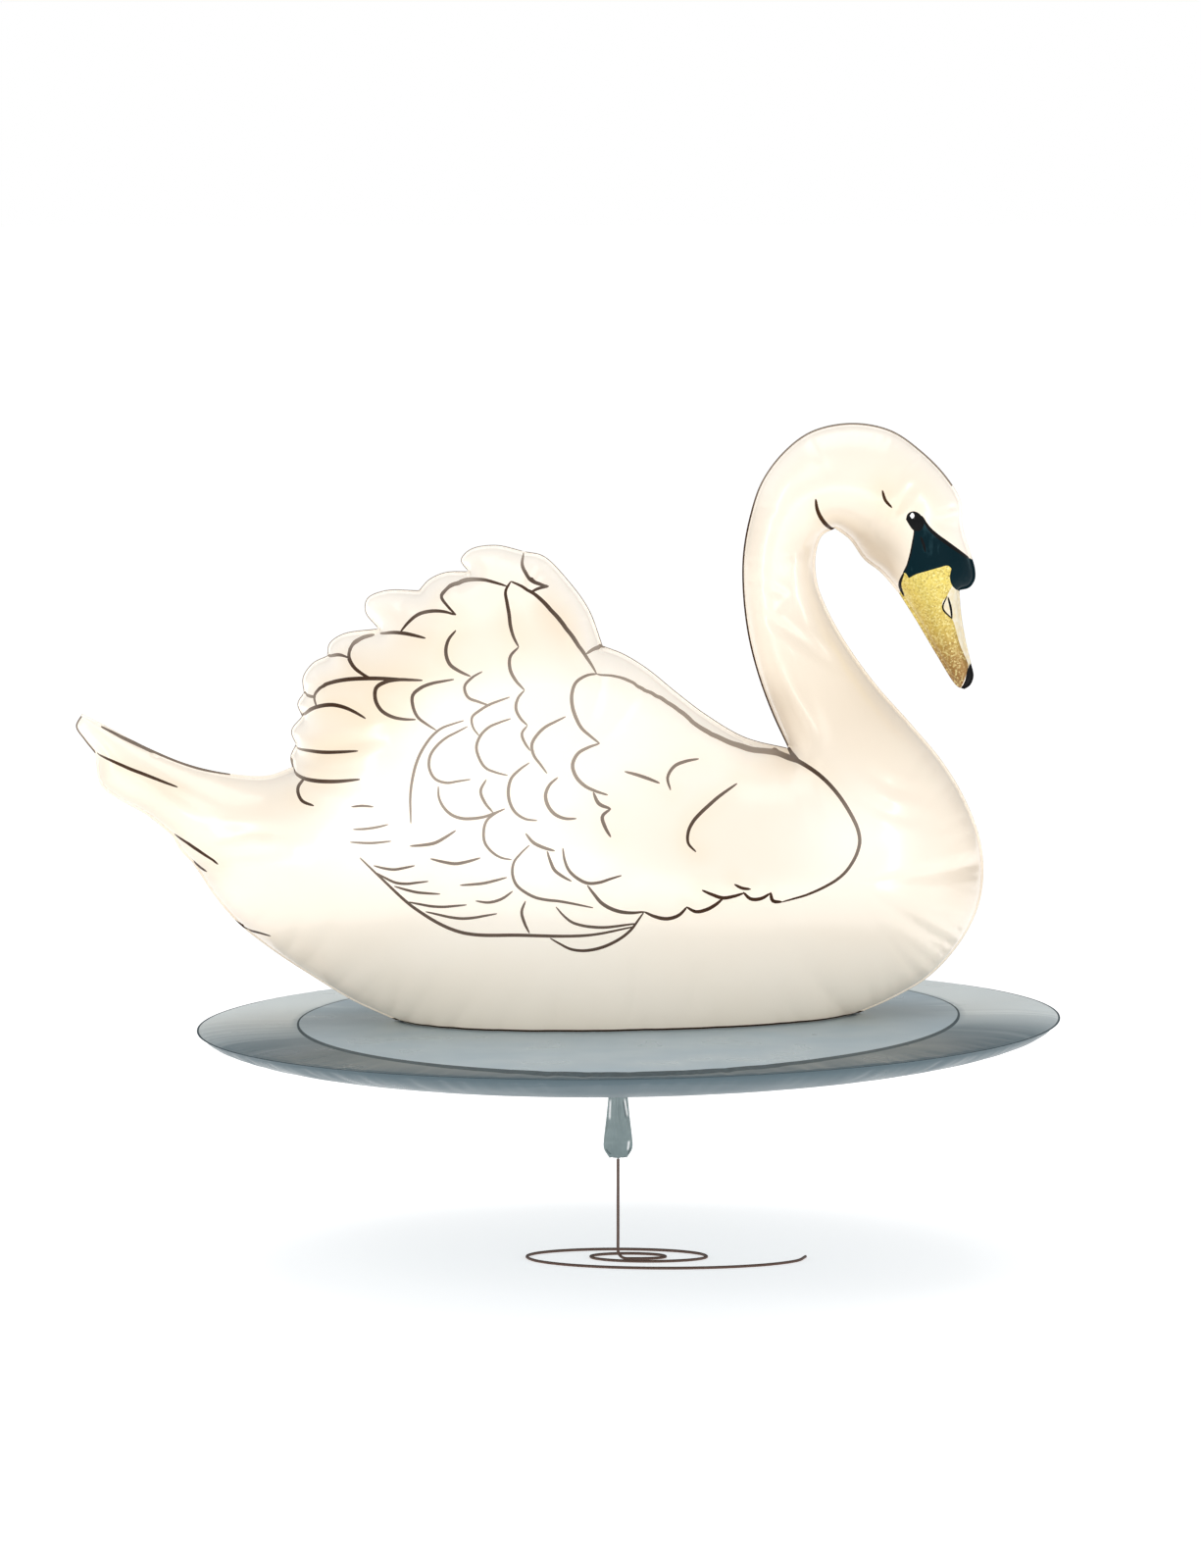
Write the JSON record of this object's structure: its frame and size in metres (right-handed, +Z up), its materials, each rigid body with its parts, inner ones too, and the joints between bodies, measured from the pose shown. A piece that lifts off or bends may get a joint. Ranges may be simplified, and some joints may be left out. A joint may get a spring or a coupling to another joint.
{
  "type": "balloon swan",
  "caption": "Party decoration: a foil balloon in the shape of a resting swan on a round foil pond, with an inflation stem below and a long ribbon curled on the floor.",
  "frame": {"origin": "on the floor, where the hanging ribbon first lies flat", "axes": "+X the way the swan faces, +Y to the swan's left, +Z up"},
  "size_m": [1.0029, 0.882, 0.8589],
  "materials": {
    "swan_foil": "pearl cream foil with printed brown feather lines, gold bill and dark teal face",
    "pond_foil": "satin blue-grey foil with one printed ring",
    "stem_foil": "satin slate foil, creased",
    "ribbon": "thin round brown ribbon cord"
  },
  "bodies": {
    "root": {"swan": "swan_foil", "pond": "pond_foil", "inflation_stem": "stem_foil", "ribbon_drop": "ribbon", "ribbon_curl": "ribbon"}
  },
  "joints": []
}
